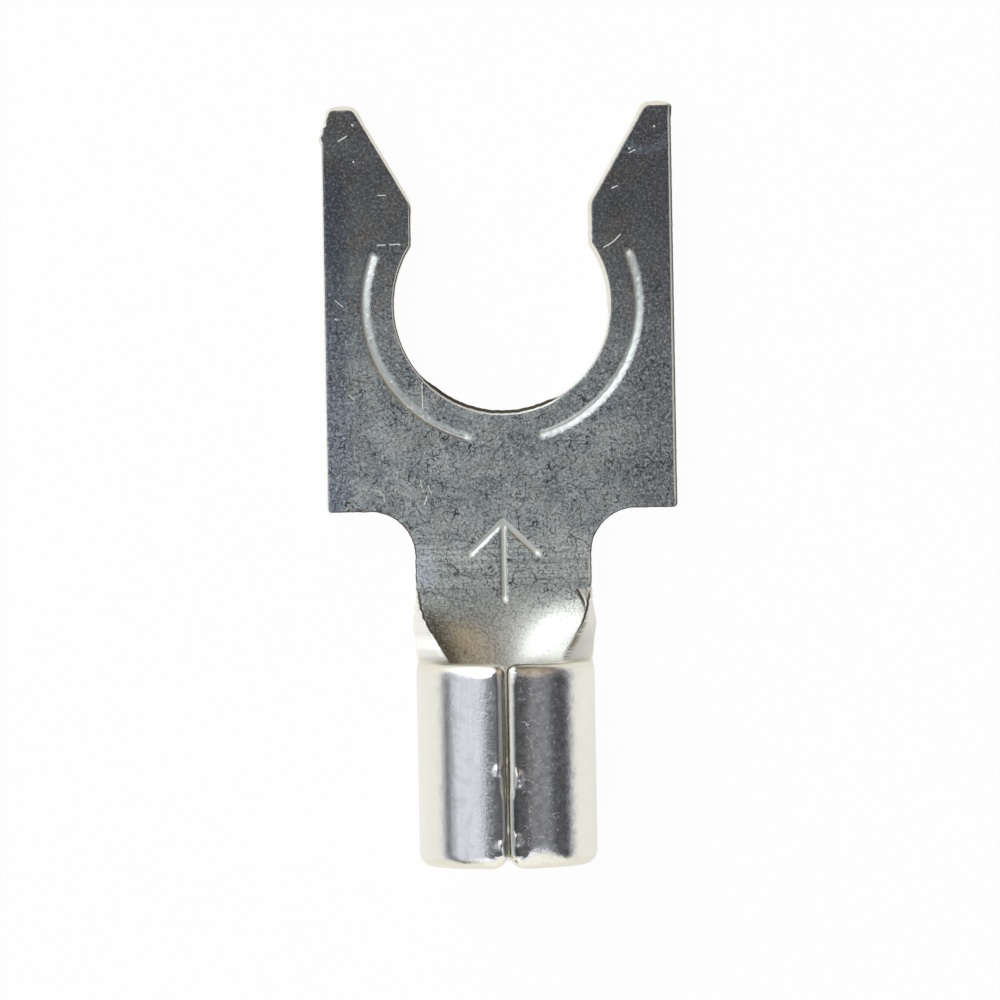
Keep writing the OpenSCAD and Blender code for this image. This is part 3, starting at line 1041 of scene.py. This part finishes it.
def floor_material():
    """White floor, on which the part's shadow shows faintly to the camera and more in reflections."""
    material, tree, shader = new_material("floor")
    shader.inputs["Base Color"].default_value = FLOOR_COLOUR
    shader.inputs["Roughness"].default_value = FLOOR_ROUGHNESS
    nodes = Nodes(tree)
    share = white_share(nodes, FLOOR_SEEN, FLOOR_MIRRORED)
    glow = nodes.add("ShaderNodeEmission", {"Color": WHITE, "Strength": 1.0})
    mix = nodes.add("ShaderNodeMixShader", {0: share, 1: shader.outputs[0], 2: glow.outputs[0]})
    tree.links.new(mix.outputs[0], tree.nodes["Material Output"].inputs["Surface"])
    return material


def add_floor():
    """Floor that the part lies on."""
    signs = ((-1, -1), (1, -1), (1, 1), (-1, 1))
    corners = [(x * FLOOR_REACH, y * FLOOR_REACH, FLOOR_LEVEL) for x, y in signs]
    mesh = bpy.data.meshes.new("floor")
    mesh.from_pydata(corners, [], [(0, 1, 2, 3)])
    floor = bpy.data.objects.new("floor", mesh)
    floor.data.materials.append(floor_material())
    bpy.context.collection.objects.link(floor)


def add_softbox(name, box):
    """Area lamp that faces the part."""
    azimuth = math.radians(box.azimuth)
    lean = math.radians(box.lean)
    away = Vector((math.sin(lean) * math.cos(azimuth), math.sin(lean) * math.sin(azimuth), math.cos(lean)))
    lamp = bpy.data.lights.new(name, "AREA")
    lamp.shape = "RECTANGLE"
    lamp.size = box.width
    lamp.size_y = box.height
    lamp.energy = box.radiance * math.pi * box.width * box.height
    lamp.color = box.colour
    holder = bpy.data.objects.new(name, lamp)
    aim = Vector((0, (low[1] + high[1]) / 2 * MM, 0))
    holder.location = aim + away * LAMP_DISTANCE
    holder.rotation_euler = away.to_track_quat("Z", "Y").to_euler()
    bpy.context.collection.objects.link(holder)


def add_world():
    """Dim room that is white behind the part."""
    world = bpy.data.worlds.new("studio")
    world.use_nodes = True
    bpy.context.scene.world = world
    tree = world.node_tree
    nodes = Nodes(tree)
    share = white_share(nodes, ROOM_SEEN, ROOM_MIRRORED)
    room = tree.nodes["Background"]
    room.inputs["Color"].default_value = ROOM_COLOUR
    white = nodes.add("ShaderNodeBackground", {"Color": WHITE, "Strength": 1.0})
    mix = nodes.add("ShaderNodeMixShader", {0: share, 1: room.outputs[0], 2: white.outputs[0]})
    tree.links.new(mix.outputs[0], tree.nodes["World Output"].inputs["Surface"])


def add_camera():
    """Camera straight above the part."""
    right = (FRAME_PIXELS / 2 - SEAT_PIXEL[0]) * MM_PER_PIXEL
    up = (SEAT_PIXEL[1] - FRAME_PIXELS / 2) * MM_PER_PIXEL
    camera = bpy.data.cameras.new("camera")
    camera.lens = camera.sensor_width * CAMERA_DISTANCE / (FRAME_PIXELS * MM_PER_PIXEL)
    camera.clip_start = CLIP_START
    holder = bpy.data.objects.new("camera", camera)
    x = right * math.cos(CAMERA_TURN) + up * math.sin(CAMERA_TURN)
    y = up * math.cos(CAMERA_TURN) - right * math.sin(CAMERA_TURN)
    holder.location = Vector((x, y, SHEET / 2 + CAMERA_DISTANCE)) * MM
    holder.rotation_euler = (0, 0, -CAMERA_TURN)
    bpy.context.collection.objects.link(holder)
    bpy.context.scene.camera = holder


terminal = bpy.data.objects.new("terminal", terminal_mesh())
terminal.data.materials.append(tin_material())
bpy.context.collection.objects.link(terminal)
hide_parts("fork_terminal")
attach(terminal, "root")

add_floor()
for box_name, softbox in SOFTBOXES.items():
    add_softbox(box_name, softbox)
add_world()
add_camera()
bpy.context.scene.view_settings.view_transform = "Standard"
